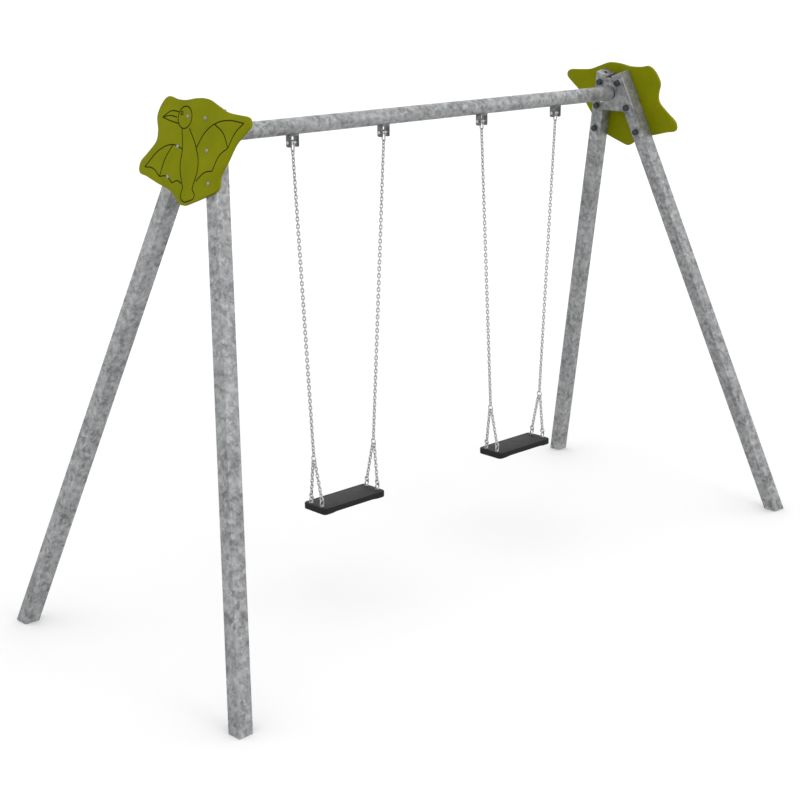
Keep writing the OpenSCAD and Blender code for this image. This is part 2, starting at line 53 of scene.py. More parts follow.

# %% [markdown]
# ## The camera
# The set is seen from in front of its left end, a little above the beam, through a long lens so
# that the uprights stay close to parallel.

# %% Place the camera
LENS = 73.38
FILM_WIDTH = 36.0
SHIFT_X = -0.0427
SHIFT_Y = -0.0101
CAMERA_PLACE = (-6.181, -6.204, 3.457)
CAMERA_AIM = Vector((0.6796, 0.6820, -0.2702))
SEES_TO = 100.0
camera_data = bpy.data.cameras.new("camera")
camera_data.lens = LENS
camera_data.sensor_width = FILM_WIDTH
camera_data.shift_x = SHIFT_X
camera_data.shift_y = SHIFT_Y
camera_data.clip_end = SEES_TO
camera = bpy.data.objects.new("camera", camera_data)
bpy.context.scene.collection.objects.link(camera)
camera.location = CAMERA_PLACE
camera.rotation_euler = CAMERA_AIM.to_track_quat("-Z", "Y").to_euler()
bpy.context.scene.camera = camera
print("the camera stands", round(camera.location.length, 2), "m from the middle of the set")

# %% [markdown]
# ## Measuring the frame
# The hardware is placed from the frame's own boxes: the two A-frames are mirror images, so one
# sign, -1 for left and 1 for right, turns every measure into its twin.

# %% Measure the frame
SIDES = {"left": -1, "right": 1}


def middle(node):
    """The middle of a node's box."""
    low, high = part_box(node)
    return (low + high) / 2


def extent(node):
    """The length, width and height of a node's box."""
    low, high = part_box(node)
    return high - low


beam_z = middle("crossbeam").z
beam_r = extent("crossbeam").y / 2
print("the beam's axis is", round(beam_z, 3), "m up and its radius", round(beam_r / MM, 1), "mm")

# %% [markdown]
# ## Hands for edit mode
# An operator acts on all that is selected, so every step starts by deselecting everything and then
# picks faces, edges or corners by their place or direction. These few helpers do that, and another
# leaves a finished piece unturned and unscaled at the origin, with its place in its mesh.

# %% Helpers for selecting
def only(piece):
    """Makes a piece the only selected one, in object mode."""
    if bpy.context.object and bpy.context.object.mode != "OBJECT":
        bpy.ops.object.mode_set(mode="OBJECT")
    bpy.ops.object.select_all(action="DESELECT")
    piece.select_set(True)
    bpy.context.view_layer.objects.active = piece
    return piece


def edit(piece):
    """Opens a piece in edit mode with all of it selected."""
    only(piece)
    bpy.ops.object.mode_set(mode="EDIT")
    bpy.ops.mesh.select_all(action="SELECT")
    return piece


def pick(piece, kind, test):
    """Selects, in edit mode, just the corners, edges or faces that pass a test."""
    bpy.ops.mesh.select_mode(type=kind)
    bpy.ops.mesh.select_all(action="DESELECT")
    mesh = bmesh.from_edit_mesh(piece.data)
    parts = {"VERT": mesh.verts, "EDGE": mesh.edges, "FACE": mesh.faces}[kind]
    chosen = [part for part in parts if test(part)]
    for part in chosen:
        part.select_set(True)
    bmesh.update_edit_mesh(piece.data)
    return len(chosen)


def settle(piece):
    """Puts a piece's place into its mesh and leaves its object at the origin."""
    only(piece)
    bpy.ops.object.transform_apply(location=True, rotation=True, scale=True)
    return piece


# %% [markdown]
# ## Making and handing over a piece
# Many pieces start as a loose copy of a imported node, whose triangles are merged into whole faces so
# that an edge is one edge. At the end a piece gets its finishes and the body that it moves with, and
# the imported node that it stands for is hidden.

# %% Helpers for shaping
MERGE_GAP = 0.01 * MM
FLAT_ANGLE = math.radians(0.5)


def apply(piece, kind, **settings):
    """Adds one modifier, sets it and applies it."""
    only(piece)
    modifier = piece.modifiers.new(kind.lower(), kind)
    for name, value in settings.items():
        setattr(modifier, name, value)
    bpy.ops.object.modifier_apply(modifier=modifier.name)
    return piece


def smooth(piece, degrees):
    """Shades a piece smooth, and leaves its sharper edges crisp."""
    only(piece)
    bpy.ops.object.shade_smooth_by_angle(angle=math.radians(degrees))
    return piece


def join(pieces, name):
    """Joins pieces into one, named for what it is."""
    only(pieces[0])
    for piece in pieces:
        piece.select_set(True)
    bpy.ops.object.join()
    pieces[0].name = name
    pieces[0].data.name = name
    return pieces[0]


def copy_of(node, name):
    """A loose copy of a node's mesh, with its corners merged and its flat faces made whole."""
    piece = bpy.data.objects.new(name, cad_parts[node].data.copy())
    bpy.context.scene.collection.objects.link(piece)
    piece.data.materials.clear()
    if "custom_normal" in piece.data.attributes:
        piece.data.attributes.remove(piece.data.attributes["custom_normal"])
    edit(piece)
    bpy.ops.mesh.remove_doubles(threshold=MERGE_GAP)
    bpy.ops.mesh.dissolve_limited(angle_limit=FLAT_ANGLE)
    bpy.ops.object.mode_set(mode="OBJECT")
    return piece


def dress(piece, body, slot, node, *finishes):
    """Gives a finished piece its finishes and its body, and hides the node it stands for. The slot is
    not used.
    """
    for finish in finishes:
        piece.data.materials.append(finish)
    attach(piece, body)
    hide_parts(node)
    print(piece.name, "has", len(piece.data.polygons), "faces")
    return piece


# %% [markdown]
# ## Writing finishes
# A finish is a small program of nodes. One class wraps a number that changes over a surface, so
# that sums are written as sums. Another builds a material and adds any node through one method.

# %% A number over a surface
class Number:
    """A value that changes over a surface: each operator adds one Math node."""

    def __init__(self, finish, socket):
        self.finish = finish
        self.socket = socket

    def math(self, operation, other):
        """Joins this value and another, or a constant, by one operation."""
        return self.finish.node("ShaderNodeMath", {"operation": operation}, {0: self, 1: other})

    def __add__(self, other):
        return self.math("ADD", other)

    def __sub__(self, other):
        return self.math("SUBTRACT", other)

    def __mul__(self, other):
        return self.math("MULTIPLY", other)


# %% A finish under construction
class Finish:
    """A material on a principled shader: its constants are set first, then what varies is fed."""

    def __init__(self, name, constants):
        self.material = bpy.data.materials.new(name)
        self.material.use_nodes = True
        self.tree = self.material.node_tree
        self.shader = self.tree.nodes["Principled BSDF"]
        for socket, value in constants.items():
            self.shader.inputs[socket].default_value = value
        self.place = self.node("ShaderNodeTexCoord", {}, {}, "Object")

    def node(self, kind, settings, inputs, output=0):
        """Adds any node: its settings first, then its sockets' values or links."""
        made = self.tree.nodes.new(kind)
        for name, value in settings.items():
            setattr(made, name, value)
        for socket, value in inputs.items():
            self.give(value, made.inputs[socket])
        return Number(self, made.outputs[output])

    def give(self, value, socket):
        """Links a changing value to a socket, or sets a constant on it."""
        if isinstance(value, Number):
            self.tree.links.new(value.socket, socket)
        else:
            socket.default_value = value

    def noise(self, span, detail=2.0, roughness=0.5):
        """Soft clouds of about this span in metres, from 0 to 1."""
        return self.node("ShaderNodeTexNoise", {},
            {"Vector": self.place, "Scale": 1 / span, "Detail": detail, "Roughness": roughness})

    def flakes(self, span, place=None):
        """Flat patches of about this span in metres, each with its own value from 0 to 1."""
        colour = self.node("ShaderNodeTexVoronoi", {"feature": "F1"},
            {"Vector": place or self.place, "Scale": 1 / span}, "Color")
        return self.node("ShaderNodeSeparateColor", {}, {0: colour}, "Red")

    def between(self, value, low, high, to_low=0.0, to_high=1.0):
        """Spreads the stretch from low to high over another stretch, and stops at its ends."""
        return self.node("ShaderNodeMapRange", {"clamp": True}, {"Value": value, "From Min": low,
            "From Max": high, "To Min": to_low, "To Max": to_high})

    def mix(self, factor, first, second):
        """A colour between two colours."""
        return self.node("ShaderNodeMix", {"data_type": "RGBA"},
            {0: factor, 6: first, 7: second}, 2)

    def feed(self, **sockets):
        """Feeds the shader's changing sockets."""
        for name, value in sockets.items():
            self.give(value, self.shader.inputs[name.replace("_", " ")])

    def relief(self, height, depth, strength):
        """Bumps of this depth in metres, from a height of 0 to 1."""
        bump = self.node("ShaderNodeBump", {},
            {"Height": height, "Distance": depth, "Strength": strength})
        self.give(bump, self.shader.inputs["Normal"])


def grey(value, blue=0.0):
    """A near-grey colour, with a touch of blue."""
    return (value * (1 - blue), value, value * (1 + blue), 1.0)


# %% [markdown]
# ## Zinc
# The tubes are dipped in molten zinc. It freezes in patches that reflect light differently, and
# the bath leaves broad clouds over them. Clouds of two sizes, ragged flakes and a few pale flecks
# are added up. The sum sets both the colour and the gloss, so a bright patch is also a smoother one.

# %% Zinc finishes
ZINC_CLOUD = 130 * MM
ZINC_BLOT = 34 * MM
ZINC_FLECK = 16 * MM
ZINC_GRAIN = 2.5 * MM
ZINC_RELIEF = 0.12 * MM
DULLEST = 0.66
BRIGHTEST = 1.30


def zinc(name, dark, light, shine, flake=22 * MM):
    finish = Finish(name, {"Metallic": 0.55, "Specular IOR Level": 0.4})
    clouds = finish.noise(ZINC_CLOUD, 3.0, 0.6)
    blots = finish.noise(ZINC_BLOT, 4.0, 0.6)
    swirl = finish.node("ShaderNodeTexNoise", {},
        {"Vector": finish.place, "Scale": 1 / flake, "Detail": 3.0}, "Color")
    ragged = finish.node("ShaderNodeVectorMath", {"operation": "MULTIPLY_ADD"},
        {0: swirl, 1: (flake, flake, flake), 2: finish.place})
    patches = finish.flakes(flake, ragged)
    flecks = finish.between(finish.noise(ZINC_FLECK, 1.0), 0.60, 0.66)
    mottle = clouds * 0.6 + blots * 1.0 + patches * 0.32 + flecks * 0.18
    tone = finish.between(mottle, DULLEST, BRIGHTEST)
    finish.feed(Base_Color=finish.mix(tone, grey(dark, 0.02), grey(light, 0.012)))
    finish.feed(Roughness=finish.between(tone, 0.0, 1.0, shine + 0.12, shine - 0.06))
    grain = finish.noise(ZINC_GRAIN)
    finish.relief(patches * 0.5 + grain * 0.5, ZINC_RELIEF, 0.5)
    return finish.material


galvanised = zinc("galvanised_steel", 0.16, 0.43, 0.42)
# A darker copy of the tubes' zinc for the brackets: painted shade for their inner faces
bracket_shaded_zinc = zinc("bracket_shaded_steel", 0.155, 0.39, 0.44)
# A much darker copy of the zinc for the hangers: painted shade under the beam
hanger_shaded_zinc = zinc("hanger_steel", 0.09, 0.24, 0.42, 12 * MM)
# Near-black zinc for the spigots: painted shade inside the beam's end
spigot_painted_shade = zinc("spigot_painted_shade_steel", 0.02, 0.05, 0.60)
print("zinc:", galvanised.name, bracket_shaded_zinc.name, hanger_shaded_zinc.name, spigot_painted_shade.name)

# %% [markdown]
# ## Bright steel and chain
# Bolts, nuts and links are plated: bright, a little uneven, and clouded where oxide settles. The
# chain is duller than the nuts, and the heads of the frame's bolts are duller again.

# %% Plated finishes
PLATED_CLOUD = 6 * MM
PLATED_GRAIN = 0.8 * MM
PLATED_RELIEF = 0.03 * MM


def plated(name, dark, light, rough):
    finish = Finish(name, {"Metallic": 0.85, "Specular IOR Level": 0.5})
    dull = finish.noise(PLATED_CLOUD, 3.0, 0.6)
    tone = finish.between(dull, 0.3, 0.7)
    finish.feed(Base_Color=finish.mix(tone, grey(dark, 0.01), grey(light, 0.01)))
    finish.feed(Roughness=finish.between(tone, 0.0, 1.0, rough + 0.12, rough))
    finish.relief(finish.noise(PLATED_GRAIN, 1.0), PLATED_RELIEF, 0.4)
    return finish.material


bright = plated("bright_steel", 0.48, 0.72, 0.24)
bolt_steel = plated("bolt_steel", 0.20, 0.36, 0.36)
chain_steel = plated("chain_steel", 0.36, 0.62, 0.30)
core_steel = plated("core_steel", 0.20, 0.32, 0.50)
print("plated:", bright.name, bolt_steel.name, chain_steel.name, core_steel.name)

# %% [markdown]
# ## Sheet, rubber and plastic
# The end panels are through-coloured polyethylene with a fine pebbled skin, and their engraving is
# routed down to a darker layer. The seats are moulded rubber with a matt grain, and faces that look
# up carry scuffs and are painted lighter than the sides, as painted light from above. The bolt covers
# are smooth black plastic.

# %% Green sheet
SHEET_CLOUD = 160 * MM
SHEET_FINE = 7 * MM
SHEET_PEBBLE = 1.6 * MM
SHEET_RELIEF = 0.06 * MM


def sheet(name, dark, light):
    finish = Finish(name, {"Specular IOR Level": 0.04})
    broad = finish.noise(SHEET_CLOUD, 3.0, 0.6)
    fine = finish.noise(SHEET_FINE)
    tone = finish.between(broad * 0.7 + fine * 0.3, 0.35, 0.65)
    finish.feed(Base_Color=finish.mix(tone, dark, light))
    finish.feed(Roughness=finish.between(fine, 0.3, 0.7, 0.55, 0.68))
    finish.relief(finish.noise(SHEET_PEBBLE, 1.0), SHEET_RELIEF, 0.5)
    return finish.material


green = sheet("green_panel", (0.165, 0.178, 0.001, 1), (0.205, 0.218, 0.001, 1))
green_cut = sheet("green_groove", (0.018, 0.020, 0.002, 1), (0.034, 0.036, 0.004, 1))
print("sheet:", green.name, green_cut.name)

# %% Black rubber and plastic
SCUFF = 45 * MM
RUBBER_GRAIN = 1.4 * MM
RUBBER_SPECK = 3 * MM
RUBBER_RELIEF = 0.10 * MM
PLASTIC_SCUFF = 14 * MM
PLASTIC_GRAIN = 1.0 * MM
PLASTIC_RELIEF = 0.02 * MM


def rubber(name, dark, light, rough):
    finish = Finish(name, {"Specular IOR Level": 0.15})
    scuffs = finish.noise(SCUFF, 4.0, 0.65)
    grain = finish.noise(RUBBER_GRAIN)
    speck = finish.flakes(RUBBER_SPECK)
    # Painted light: faces that look up get a lighter tone than the sides, and only they get the
    # scuffs
    facing = finish.node("ShaderNodeNewGeometry", {}, {}, "Normal")
    up = finish.node("ShaderNodeSeparateXYZ", {}, {0: facing}, "Z")
    top = finish.between(up, 0.5, 0.95)
    tone = finish.between(scuffs, 0.35, 0.7) * 0.5 * top + top * 0.45 + speck * 0.06
    finish.feed(Base_Color=finish.mix(tone, grey(dark), grey(light)))
    finish.feed(Roughness=finish.between(grain, 0.3, 0.7, rough - 0.06, rough + 0.06))
    finish.relief(grain * 0.7 + speck * 0.3, RUBBER_RELIEF, 0.6)
    return finish.material


def plastic(name, dark, light, rough):
    finish = Finish(name, {"Specular IOR Level": 0.5})
    scuffs = finish.noise(PLASTIC_SCUFF, 3.0)
    tone = finish.between(scuffs, 0.35, 0.7)
    finish.feed(Base_Color=finish.mix(tone, grey(dark, 0.12), grey(light, 0.1)))
    finish.feed(Roughness=finish.between(scuffs, 0.3, 0.7, rough, rough + 0.12))
    finish.relief(finish.noise(PLASTIC_GRAIN), PLASTIC_RELIEF, 0.5)
    return finish.material


seat_rubber = rubber("black_rubber", 0.013, 0.038, 0.62)
seat_edge = rubber("seat_edge_rubber", 0.013, 0.030, 0.58)
cover_plastic = plastic("black_plastic", 0.016, 0.028, 0.36)
print("black:", seat_rubber.name, seat_edge.name, cover_plastic.name)

# %% [markdown]
# ## Legs
# A leg is cold-formed square tube. Its four long edges are rolled to a small radius, about as large
# as the wall is thick, and that is what catches the light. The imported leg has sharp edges, so a
# copy has its long edges bevelled, outside and in, and then stands for it.

# %% Round the edges of the legs
TUBE_OUTER_R = 4 * MM
TUBE_INNER_R = 2 * MM
LONG_EDGE = 1.5


def round_long_edges(piece, convex, radius, segments):
    """Bevels the long outer or inner edges of a tube."""
    edit(piece)
    found = pick(piece, "EDGE", lambda e: e.calc_length() > LONG_EDGE and e.is_convex == convex)
    bpy.ops.mesh.bevel(offset=radius, segments=segments, affect="EDGES")
    bpy.ops.object.mode_set(mode="OBJECT")
    return found


for side in SIDES:
    for hand in ("front", "rear"):
        node = f"{side}_{hand}_leg"
        leg = copy_of(node, f"{side}_{hand}_leg_tube")
        outer = round_long_edges(leg, True, TUBE_OUTER_R, 4)
        inner = round_long_edges(leg, False, TUBE_INNER_R, 3)
        print(node, "outer edges", outer, "inner edges", inner)
        smooth(leg, 30)
        dress(leg, "frame", "galvanised_steel", node, galvanised)

# %% [markdown]
# ## Softened hardware
# Flame-cut and sheared plates never have a knife edge. A copy of each plate gets a small even
# bevel from a modifier, which is enough to draw a bright line along every rim. A bracket's spigot
# stands in the beam's shade, and that shade is painted on it as near-black zinc, so the gap at the
# beam's end reads as a gap.

# %% Soften plates and hangers
PLATE_EDGE = 1.2 * MM
CAP_EDGE = 0.8 * MM


def softened(node, slot, width, finish):
    piece = copy_of(node, node + "_finished")
    apply(piece, "BEVEL", width=width, segments=2, limit_method="ANGLE",
        angle_limit=math.radians(40), use_clamp_overlap=True)
    smooth(piece, 30)
    return dress(piece, "frame", slot, node, finish)


for side in SIDES:
    bracket = softened(f"{side}_head_bracket", "galvanised_steel", PLATE_EDGE, bracket_shaded_zinc)
    # The spigot's faces get the near-black zinc: painted shade where the beam's end hides them
    bracket.data.materials.append(spigot_painted_shade)
    for face in bracket.data.polygons:
        off_axis = math.hypot(face.center.y, face.center.z - beam_z)
        on_spigot = off_axis < beam_r and abs(face.normal.x) < 0.5
        face.material_index = 1 if on_spigot else 0
    softened(f"{side}_leg_caps", "galvanised_steel", CAP_EDGE, galvanised)
    for place in ("outer", "inner"):
        softened(f"{side}_{place}_hanger", "hanger_steel", PLATE_EDGE, hanger_shaded_zinc)

# %% [markdown]
# ## End panels
# The panel is a blank cut from thick sheet with a router. Its rim is rounded over, and a plain
# bird is engraved on the outer face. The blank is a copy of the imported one, its rim a bevel, and
# the engraving is cut by sweeping a round cutter along drawn strokes and subtracting it.

# %% The engraving's strokes
# Across and up, in millimetres, from the point where the beam's axis comes out through the panel
STROKES = [
    # right wing: leading edge, then three scallops back to the body
    [(30, -52), (75, 20), (140, 68), (235, 92), (352, 88)],
    [(352, 88), (300, 42), (262, -32)],
    [(262, -32), (208, -72), (172, -146)],
    [(172, -146), (118, -158), (62, -204)],
    # left wing: leading edge, then three scallops back to the body
    [(-72, -66), (-150, -52), (-245, -82), (-350, -176)],
    [(-350, -176), (-280, -178), (-222, -210)],
    [(-222, -210), (-168, -204), (-118, -230)],
    [(-118, -230), (-78, -216), (-46, -226)],
    # one rib in each wing
    [(140, 68), (215, 30), (262, -32)],
    [(-150, -52), (-196, -120), (-222, -210)],
    # body, both sides, from the neck to the tail
    [(-100, 32), (-74, -66), (-72, -150), (-30, -246)],
    [(-42, 34), (30, -52), (62, -130), (42, -242)],
    # tail
    [(-30, -246), (-38, -284), (-18, -306), (30, -300), (66, -276), (42, -242)],
    # beak: upper edge, lower edge and the line between them
    [(-134, 104), (-200, 104), (-262, 70)],
    [(-262, 70), (-200, 58), (-130, 50)],
    [(-262, 70), (-200, 82), (-150, 78)],
]
# The head and the eye are rings: across, up and radius, in millimetres
BIRD_HEAD = (-88, 82, 52)
BIRD_EYE = (-116, 100, 8)
print("the engraving has", len(STROKES) + 2, "strokes")

# %% Helpers for the engraving
CUT_R = 3.4 * MM
CUT_LIFT = 0.9 * MM


def sweep(strokes, closed, name):
    """Round cutters along strokes, as one mesh that lies in the XY plane, in metres."""
    curve = bpy.data.curves.new(name, "CURVE")
    curve.dimensions = "3D"
    curve.bevel_depth = CUT_R
    curve.bevel_resolution = 2
    curve.use_fill_caps = True
    curve.resolution_u = 7
    for stroke in strokes:
        spline = curve.splines.new("BEZIER")
        spline.bezier_points.add(len(stroke) - 1)
        spline.use_cyclic_u = closed
        for point, (across, up) in zip(spline.bezier_points, stroke):
            point.co = (across * MM, up * MM, CUT_LIFT)
            point.handle_left_type = "AUTO"
            point.handle_right_type = "AUTO"
    cutter = bpy.data.objects.new(name, curve)
    bpy.context.scene.collection.objects.link(cutter)
    only(cutter)
    bpy.ops.object.convert(target="MESH")
    return cutter


def ring_points(ring, count=8):
    """Points round a ring given as its middle and its radius."""
    across, up, r = ring
    turns = [2 * math.pi * i / count for i in range(count)]
    return [(across + r * math.cos(t), up + r * math.sin(t)) for t in turns]


def panel_frame(piece, sign):
    """A matrix from across, up and out on a panel's outer face to the frame's own axes."""
    faces = [f for f in piece.data.polygons if f.normal.x * sign > 0.9]
    face = max(faces, key=lambda f: f.area)
    out = face.normal.normalized()
    across = Vector((0, sign, 0))
    up = out.cross(across)
    corner = piece.data.vertices[face.vertices[0]].co
    x = (out.dot(corner) - out.z * beam_z) / out.x
    place = Matrix((across, up, out)).transposed().to_4x4()
    place.translation = Vector((x, 0, beam_z))
    return place


# %% Rout the panels
PANEL_RIM = 3.0 * MM


def make_cutter(place):
    """The whole engraving as one solid, laid on a panel, with the groove's finish on it."""
    lines = sweep(STROKES, False, "cutter")
    rings = sweep([ring_points(BIRD_HEAD), ring_points(BIRD_EYE)], True, "rings")
    cutter = join([lines, rings], "cutter")
    cutter.data.transform(place)
    cutter.data.materials.append(green)
    cutter.data.materials.append(green_cut)
    for face in cutter.data.polygons:
        face.material_index = 1
    return cutter


for side, sign in SIDES.items():
    node = f"{side}_panel"
    panel = copy_of(node, f"{side}_panel_sheet")
    cutter = make_cutter(panel_frame(panel, sign))
    apply(panel, "BEVEL", width=PANEL_RIM, segments=3, limit_method="ANGLE",
        angle_limit=math.radians(60), use_clamp_overlap=True)
    panel.data.materials.append(green)
    panel.data.materials.append(green_cut)
    before = len(panel.data.polygons)
    apply(panel, "BOOLEAN", object=cutter, operation="DIFFERENCE", solver="EXACT", use_self=True)
    print(node, "went from", before, "to", len(panel.data.polygons), "faces")
    bpy.data.objects.remove(cutter)
    smooth(panel, 30)
    dress(panel, "frame", "green_panel", node)

# %% [markdown]
# ## Chain
# Each chain is short-link steel chain: a link is a round bar bent into an oval and welded. One
# link is made from a ring whose halves are drawn apart, then copied down the line of the chain,
# each at a quarter turn to the last. Hundreds of links ask for few faces each.

# %% Sizes of the chains
# What the frame's boxes can't tell: wires, the pitch, and the gaps where one piece hangs in another
CHAIN_WIRE = 6 * MM
CHAIN_PITCH = 18.5 * MM
CHAIN_INNER_W = 8.4 * MM
WIRE_GAP = 0.05 * MM
TURN_GAP = 0.4 * MM
BRIDLE_APART = 12.12 * MM
BRIDLE_LINKS = 11
CHAIN_TWIST = math.radians(-45)
BRIDLE_TWIST = math.radians(-18)
TOP_WIRE = 7 * MM
RING_WIRE = 6 * MM
EYE_WIRE = 7 * MM
EYE_W = 22 * MM
FOOT_D = 22 * MM
step = CHAIN_PITCH - WIRE_GAP
link_r = (CHAIN_INNER_W + CHAIN_WIRE) / 2
link_c = (CHAIN_PITCH - CHAIN_INNER_W) / 2
print("a link is", round(2 * (link_c + link_r) / MM, 1), "mm long over its wire's middle line")

# %% Find the chains' ends
def reach(wire):
    """From a link's middle to the middle of a wire that it hangs on."""
    return CHAIN_PITCH / 2 - wire / 2 - WIRE_GAP


def chain_ends(side, sign):
    """The ends of a swing's main chains and bridles, for its outer and inner end."""
    low_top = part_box(f"{side}_top_links")[0]
    ring_low, ring_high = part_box(f"{side}_rings")
    eye_low, eye_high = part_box(f"{side}_seat_eyes")
    centre = (ring_low.x + ring_high.x) / 2
    ring_x = (ring_high.x - ring_low.x - RING_WIRE) / 2
    ring_z = (ring_low.z + ring_high.z) / 2
    ring_r = (ring_high.z - ring_low.z - RING_WIRE) / 2
    eye_x = (eye_high.x - eye_low.x - EYE_W - EYE_WIRE) / 2
    eye_y = (eye_high.y - eye_low.y - FOOT_D) / 2
    turn_r = ring_r - (RING_WIRE + CHAIN_WIRE) / 2 - TURN_GAP
    turn_y = BRIDLE_APART / 2
    turn_z = ring_z - math.sqrt(turn_r ** 2 - turn_y ** 2)
    found = {}
    for place, s in (("outer", sign), ("inner", -sign)):
        hanger_x = middle(f"{side}_{place}_hanger").x
        main = (Vector((hanger_x, 0, low_top.z + TOP_WIRE / 2)),
            Vector((centre + s * ring_x, 0, ring_z + ring_r)))
        bridles = [(Vector((centre + s * ring_x, t * turn_y, turn_z)),
            Vector((centre + s * eye_x, t * eye_y, eye_high.z - EYE_WIRE / 2))) for t in (-1, 1)]
        found[place] = (main, bridles)
    return found


ends = {side: chain_ends(side, sign) for side, sign in SIDES.items()}
top, foot = ends["left"]["outer"][0]
print("the left outer chain is", round((foot - top).length, 4), "m")

# %% Make one link
LINK_TURN = math.radians(15)


def make_link():
    """One link in the XZ plane, with its middle at the origin."""
    bpy.ops.object.select_all(action="DESELECT")
    bpy.ops.mesh.primitive_torus_add(major_segments=12, minor_segments=6, major_radius=link_r,
        minor_radius=CHAIN_WIRE / 2, rotation=(math.pi / 2, 0, 0))
    link = bpy.context.object
    link.name = "link"
    settle(link)
    edit(link)
    bpy.ops.transform.rotate(value=LINK_TURN, orient_axis="Y", center_override=(0, 0, 0))
    for way in (-1, 1):
        pick(link, "VERT", lambda v: v.co.z * way > 0)
        bpy.ops.transform.translate(value=(0, 0, way * link_c))
    bpy.ops.object.mode_set(mode="OBJECT")
    return link


link = make_link()
print("a link has", len(link.data.polygons), "faces")

# %% Copy the link down each chain
def hang(start, end):
    """A matrix whose -Z runs from start to end, and whose X stays level with X."""
    d = (end - start).normalized()
    lean = Matrix.Rotation(math.atan2(-d.x, -d.z), 4, "Y")
    tip = Matrix.Rotation(math.asin(d.y), 4, "X")
    return Matrix.Translation(start) @ (lean @ tip)


def hang_links(line, first, count, twist, name):
    """Copies of the link down a line, each at a quarter turn to the last, with a slow twist."""
    along = hang(*line)
    copies = []
    for i in range(count):
        mesh = link.data.copy()
        angle = math.pi / 2 * (i % 2) + twist * math.sin(math.pi * i / (count - 1))
        down = Matrix.Translation((0, 0, -first - i * step))
        mesh.transform(along @ down @ Matrix.Rotation(angle, 4, "Z"))
        copies.append(bpy.data.objects.new(f"{name}_{i}", mesh))
        bpy.context.scene.collection.objects.link(copies[-1])
    return join(copies, name)


def finish_chain(chain, body, node):
    """Shades a chain and hands it over with its finish."""
    smooth(chain, 60)
    dress(chain, body, "chain_steel", node, chain_steel)


for side in SIDES:
    for place, (main, bridles) in ends[side].items():
        length = (main[1] - main[0]).length
        count = round((length - reach(TOP_WIRE) - reach(RING_WIRE)) / step) + 1
        name = f"{side}_{place}_chain"
        chain = hang_links(main, reach(TOP_WIRE), count, CHAIN_TWIST, name + "_links")
        finish_chain(chain, f"{side}_swing", name)
        name = f"{side}_{place}_bridle"
        pair = [hang_links(bridle, link_c + link_r, BRIDLE_LINKS, BRIDLE_TWIST, f"{name}_{i}")
            for i, bridle in enumerate(bridles)]
        finish_chain(join(pair, name + "_links"), f"{side}_seat_assembly", name)
        print(side, place, "chain has", count, "links")
bpy.data.objects.remove(link)

# %% [markdown]
# ## Seats
# A seat is a slab of rubber moulded round a steel plate. Its ends are blocks that hold the eyes,
# its middle is a little thinner, and the top has a border and a joint line before each end block.
# It starts as a box: the corners and rims are bevelled, cuts across it let the underside be lifted,
# and insets on top make the borders.

# %% Sizes of the seats
SEAT_CORNER_R = 22 * MM
SEAT_RIM_R = 6 * MM
SEAT_BLOCK_L = 45 * MM
SEAT_BLEND = 55 * MM
SEAT_LIFT = 4 * MM
SEAT_EDGE = 0.5 * MM
BORDER = 9 * MM
JOINT_W = 2.4 * MM
JOINT_DEPTH = 1.6 * MM
SAME_PLACE = 1e-5
print("a seat is", round(extent("left_seat").x / MM), "mm long")

# %% Helpers for the seats
def round_seat(seat, low, high):
    """Rounds the four upright corners, then the rims below and above."""
    pick(seat, "EDGE", lambda e: abs(e.verts[0].co.z - e.verts[1].co.z) > 10 * MM)
    bpy.ops.mesh.bevel(offset=SEAT_CORNER_R, segments=7, affect="EDGES")
    for level in (low.z, high.z):
        pick(seat, "EDGE", lambda e: all(abs(v.co.z - level) < SAME_PLACE for v in e.verts))
        bpy.ops.mesh.bevel(offset=SEAT_RIM_R, segments=4, affect="EDGES")


def lift_underside(seat, centre, block):
    """Cuts the seat across and lifts the underside in a smooth curve between the end blocks."""
    cuts = [block - SEAT_BLEND * share for share in (0, 0.25, 0.5, 0.75, 1)]
    for x in sorted(cuts + [-cut for cut in cuts]):
        bpy.ops.mesh.select_all(action="SELECT")
        bpy.ops.mesh.bisect(plane_co=(centre.x + x, 0, 0), plane_no=(1, 0, 0))
    for cut in cuts:
        lift = SEAT_LIFT * (1 - math.cos(math.pi * (block - cut) / SEAT_BLEND)) / 2
        pick(seat, "VERT", lambda v: v.co.z < centre.z
            and abs(abs(v.co.x - centre.x) - cut) < SAME_PLACE)
        bpy.ops.transform.translate(value=(0, 0, lift))


def border_top(seat, centre, block):
    """Draws a border and a joint line on the left block, the middle and the right block."""
    def on_part(face, way):
        x = face.calc_center_median().x - centre.x
        inside = abs(x) < block if way == 0 else x * way > block
        return face.normal.z > 0.99 and inside

    for way in (-1, 0, 1):
        pick(seat, "FACE", lambda f: on_part(f, way))
        bpy.ops.mesh.inset(thickness=BORDER if way == 0 else BORDER / 2, depth=0)
        bpy.ops.mesh.inset(thickness=JOINT_W / 2, depth=-JOINT_DEPTH)
        bpy.ops.mesh.inset(thickness=JOINT_W / 2, depth=JOINT_DEPTH)


def mark_rubbed(seat, centre, inside_x, inside_y):
    """Leaves the first finish on the top's middle and gives the second to every other face."""
    for face in seat.data.polygons:
        x, y, z = face.center - centre
        rubbed = face.normal.z > 0.9 and abs(x) < inside_x and abs(y) < inside_y
        face.material_index = 0 if rubbed else 1


